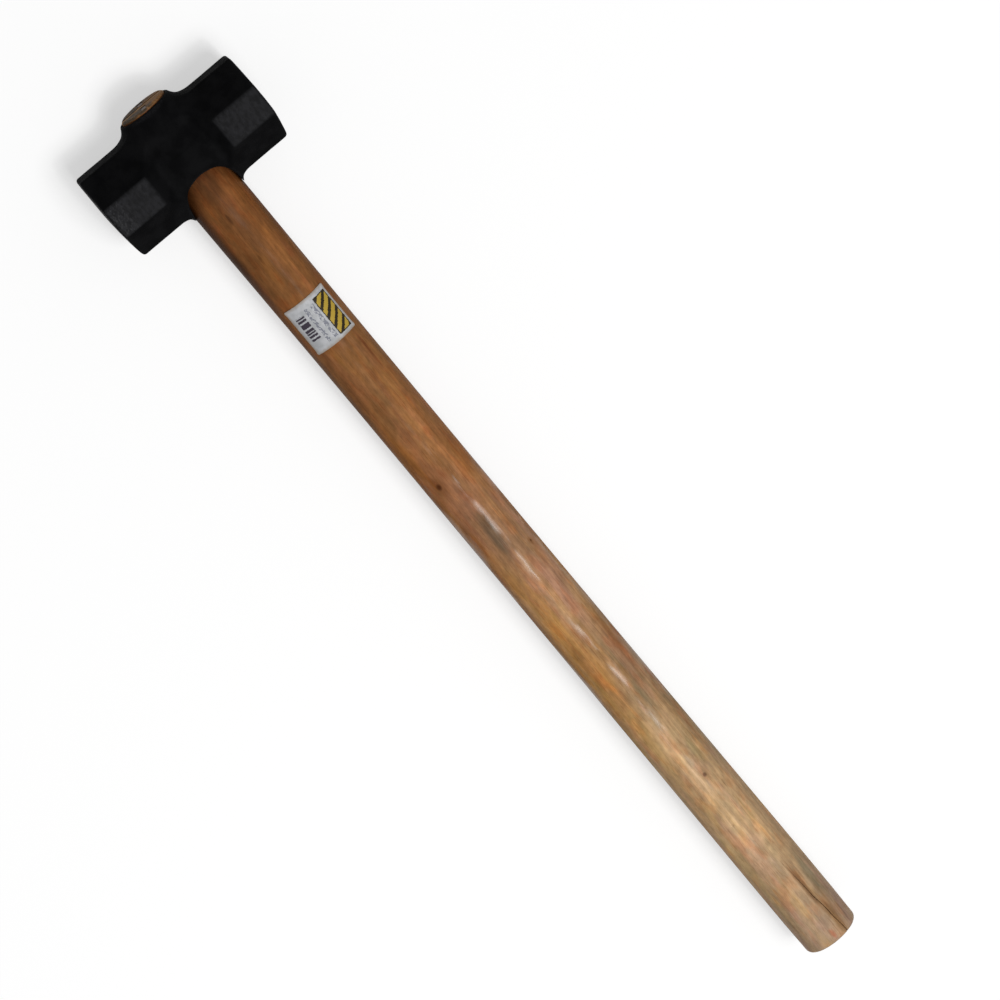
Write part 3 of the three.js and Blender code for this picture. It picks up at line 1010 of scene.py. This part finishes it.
def end_grain(n, y, top):
    """Bare end grain with patches of dirt and painted shade, which are darker on the tenon and more to its
    +Y side
    """
    bare = n.shades(n.between(growth_rings(n), -1, 1), END_GRAIN)
    # Dirt that is also painted shade, fuller on the tenon than on the butt
    dirt_and_shade = n.maths("ADD", n.noise((9, 5, 5), 4, shift=13), n.maths("MULTIPLY", y, DIRT_AND_SHADE_TO_SIDE))
    dirt_and_shade = n.maths("MULTIPLY", n.between(dirt_and_shade, 0.36, 0.62), n.between(top, 0, 1, DIRT_AND_SHADE_ON_BUTT, 1))
    return n.mix(dirt_and_shade, bare, srgb(*END_DIRT_AND_SHADE))


def lacquer(n, x, end):
    """Weight of the shiny lacquer, in patches along the middle of the handle and none on its ends"""
    patches = n.between(n.noise((42, 8, 8), 4, shift=15), 0.46, 0.62, 0, SHEEN_MOST)
    towards_head = n.between(x, *SHEEN_TO_HEAD, 1, SHEEN_AT_HEAD)
    towards_butt = n.between(x, *SHEEN_FROM_BUTT, SHEEN_AT_BUTT, 1)
    kept = n.maths("MULTIPLY", towards_head, towards_butt)
    return n.maths("MULTIPLY", patches, n.maths("MULTIPLY", kept, n.maths("SUBTRACT", 1, end)))


def handle_wood():
    """Lacquered wood with knots, grime with painted shade at the mouth of the head, and bare end grain"""
    n = Nodes("lacquered_wood")
    x, y, _ = n.axes(n.place())
    top = n.between(x, HEAD_HIGH.x, HEAD_HIGH.x + END_EDGE)
    butt = n.between(x, TOOL_LOW.x, TOOL_LOW.x + END_EDGE, 1, 0)
    end = n.maths("MAXIMUM", top, butt)
    colour = n.mix(end, knots(n, wood_colour(n)), end_grain(n, y, top))
    # Grime with painted shade: the wood darkens close to the head's mouth, where the shade under its edge
    # falls
    smear = n.between(n.noise((5, 3, 3), 3, shift=23), 0.3, 0.6, 0.6, 1)
    colour = tint(n, colour, SHADE_AND_GRIME_TINT, n.maths("MULTIPLY", n.stored("shade_and_grime"), smear))
    broad = n.bump(n.noise((60, 9, 9), 3, shift=5), 0.5)
    relief = n.bump(n.noise((7, 0.5, 0.5), 2, shift=4), 0.04, below=broad)
    return n.surface(Base_Color=colour, Roughness=0.62, Specular_IOR_Level=0.08, Normal=relief,
                     Coat_Weight=lacquer(n, x, end), Coat_Roughness=0.22)


def wedge_wood():
    """Pale wood across its grain"""
    n = Nodes("pale_end_grain")
    rings = n.noise((20, 6, 0.7), 3)
    colour = n.shades(n.between(rings, 0.35, 0.65), WEDGE_WOOD)
    return n.surface(Base_Color=colour, Roughness=0.75, Normal=n.bump(rings, 0.1))


def wedge_steel():
    """Hammered steel with rust over most of it"""
    n = Nodes("hammered_steel")
    dents = n.noise((1.6, 1.6, 1.6), 3)
    rust = n.between(n.noise((5, 5, 5), 4, shift=4), 0.3, 0.6, 0.35, 1)
    steel = n.shades(n.between(dents, 0.35, 0.65), WEDGE_STEEL)
    colour = n.mix(rust, steel, srgb(*RUST))
    metal = n.between(rust, 0, 1, 0.8, 0.1)
    return n.surface(Base_Color=colour, Metallic=metal, Roughness=0.5, Normal=n.bump(dents, 0.15))


def printed(n, colour, ink, *masks):
    """Colour with an 8-bit ink where all the masks are 1"""
    share = masks[0]
    for mask in masks[1:]:
        share = n.maths("MULTIPLY", share, mask)
    return n.mix(share, colour, srgb(*ink))


def within(n, place, area):
    """1 inside an area of the label and 0 outside it"""
    bands = [n.band(value, *ends) for value, ends in zip(place, area)]
    return n.maths("MULTIPLY", *bands)


def striped(n, turns, share):
    """1 in the first share of each whole turn and 0 in the rest"""
    return n.maths("LESS_THAN", n.maths("FRACT", turns), share)


def soiled_paper(n, across, along):
    """Greyish white paper that is dirtier at its edges"""
    cloud = n.between(n.noise((6, 6, 6), 3), 0.35, 0.65)
    paper = n.shades(cloud, PAPER)
    margin = n.maths("MINIMUM", across, n.maths("SUBTRACT", 1, across))
    margin = n.maths("MINIMUM", margin, n.maths("MINIMUM", along, n.maths("SUBTRACT", 1, along)))
    margin = n.maths("ADD", margin, n.maths("MULTIPLY", n.noise((5, 5, 5), 4, shift=6), 0.08))
    return n.mix(n.between(margin, 0.03, 0.11, 0.8, 0), paper, srgb(*PAPER_DIRT))


def label_paper():
    """Paper with a striped yellow panel, two rows of marks and a block of bars"""
    n = Nodes("printed_paper")
    across, along = n.stored("across"), n.stored("along")
    colour = soiled_paper(n, across, along)
    bleed = n.maths("MULTIPLY", n.maths("SUBTRACT", n.noise((0.8, 0.8, 0.8), 2, shift=3), 0.5), 0.03)
    across, along = n.maths("ADD", across, bleed), n.maths("ADD", along, bleed)
    place = (across, along)
    colour = printed(n, colour, PANEL_INK, within(n, place, PANEL))
    slant = n.maths("MULTIPLY", across, STRIPES_ACROSS)
    slant = n.maths("ADD", n.maths("MULTIPLY", along, STRIPES_ALONG), slant)
    stripes = striped(n, slant, STRIPE_SHARE)
    colour = printed(n, colour, STRIPE_INK, stripes, within(n, place, PANEL_INSIDE))
    marks = n.maths("GREATER_THAN", n.noise((1.5, 1, 1), 1, shift=12), 0.47)
    for row in MARK_ROWS:
        colour = printed(n, colour, MARK_INK, marks, within(n, place, row))
    bars = [striped(n, n.maths("MULTIPLY", along, count), share) for count, share in BAR_SETS]
    colour = printed(n, colour, BAR_INK, n.maths("MAXIMUM", *bars), within(n, place, BAR_BLOCK))
    return n.surface(Base_Color=colour, Roughness=0.5, Specular_IOR_Level=0.2,
                     Normal=n.bump(n.noise((5, 5, 5), 3, shift=2), 0.15))


# Studio

def build_camera():
    """Camera with a long lens at the photograph's angle"""
    pitch, yaw, roll = (math.radians(angle) for angle in (CAMERA_PITCH, CAMERA_YAW, CAMERA_ROLL))
    back = Vector((math.sin(pitch), math.sin(yaw) * math.cos(pitch), math.cos(yaw) * math.cos(pitch)))
    right = (-back).cross(Vector((math.cos(roll), math.sin(roll), 0))).normalized()
    up = back.cross(right)
    camera = bpy.data.objects.new("camera", bpy.data.cameras.new("camera"))
    turn = Matrix((right, up, back)).transposed().to_4x4()
    camera.matrix_world = Matrix.Translation(CAMERA_TARGET + back * CAMERA_DISTANCE) @ turn
    camera.data.sensor_width = CAMERA_SENSOR
    camera.data.lens = CAMERA_LENS
    bpy.context.scene.collection.objects.link(camera)
    bpy.context.scene.camera = camera


def build_lamp(name, tilt_x, tilt_y, size, power):
    """Round area lamp that points at the origin"""
    lamp = bpy.data.lights.new(name, "AREA")
    lamp.shape = "DISK"
    lamp.size = size
    lamp.energy = power
    way = Vector((math.tan(math.radians(tilt_x)), math.tan(math.radians(tilt_y)), 1)).normalized()
    holder = bpy.data.objects.new(name, lamp)
    holder.location = way * LAMP_DISTANCE
    holder.rotation_euler = (-way).to_track_quat("-Z", "Y").to_euler()
    bpy.context.scene.collection.objects.link(holder)


def build_floor():
    """White floor that keeps a soft shadow, and lights the tool from below less than it shows"""
    bpy.ops.mesh.primitive_grid_add(size=FLOOR_SIZE, x_subdivisions=2, y_subdivisions=2)
    floor = bpy.context.object
    floor.name = "floor"
    n = Nodes("pale_floor")
    rays = n.add("ShaderNodeLightPath").outputs
    seen = n.maths("MAXIMUM", rays["Is Camera Ray"], rays["Is Glossy Ray"])
    seen = n.maths("MAXIMUM", seen, rays["Is Transmission Ray"])
    colour = grey(n, n.between(seen, 0, 1, FLOOR_BOUNCE, FLOOR_COLOUR))
    glow = n.maths("MULTIPLY", seen, FLOOR_GLOW)
    n.surface(Base_Color=colour, Roughness=1.0, Specular_IOR_Level=0.0, Emission_Color=WHITE,
              Emission_Strength=glow)
    floor.data.materials.append(n.material)


def build_world():
    """Even soft light from all round"""
    world = bpy.data.worlds.new("studio")
    world.use_nodes = True
    bpy.context.scene.world = world
    background = world.node_tree.nodes["Background"]
    background.inputs["Color"].default_value = WHITE
    background.inputs["Strength"].default_value = ROOM_LIGHT


def dress(piece, material):
    """Give a new piece its material"""
    piece.data.materials.clear()
    piece.data.materials.append(material)


def dress_node(name, material):
    """Give a CAD node that stays its material"""
    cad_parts[name].material_slots[0].material = material


places, radii = handle_profile()
profile = ((places - HEAD_X) / MM, radii / MM)
dress(build_head(profile), head_paint())
dress(build_handle(places, radii), handle_wood())
dress(build_label(places, radii), label_paper())
dress_node("wooden_wedge", wedge_wood())
steel = wedge_steel()
dress_node("steel_wedge_front", steel)
dress_node("steel_wedge_rear", steel)
build_camera()
build_lamp("key", *KEY_LAMP)
build_lamp("small", *SMALL_LAMP)
build_floor()
build_world()
bpy.context.scene.view_settings.view_transform = "Standard"
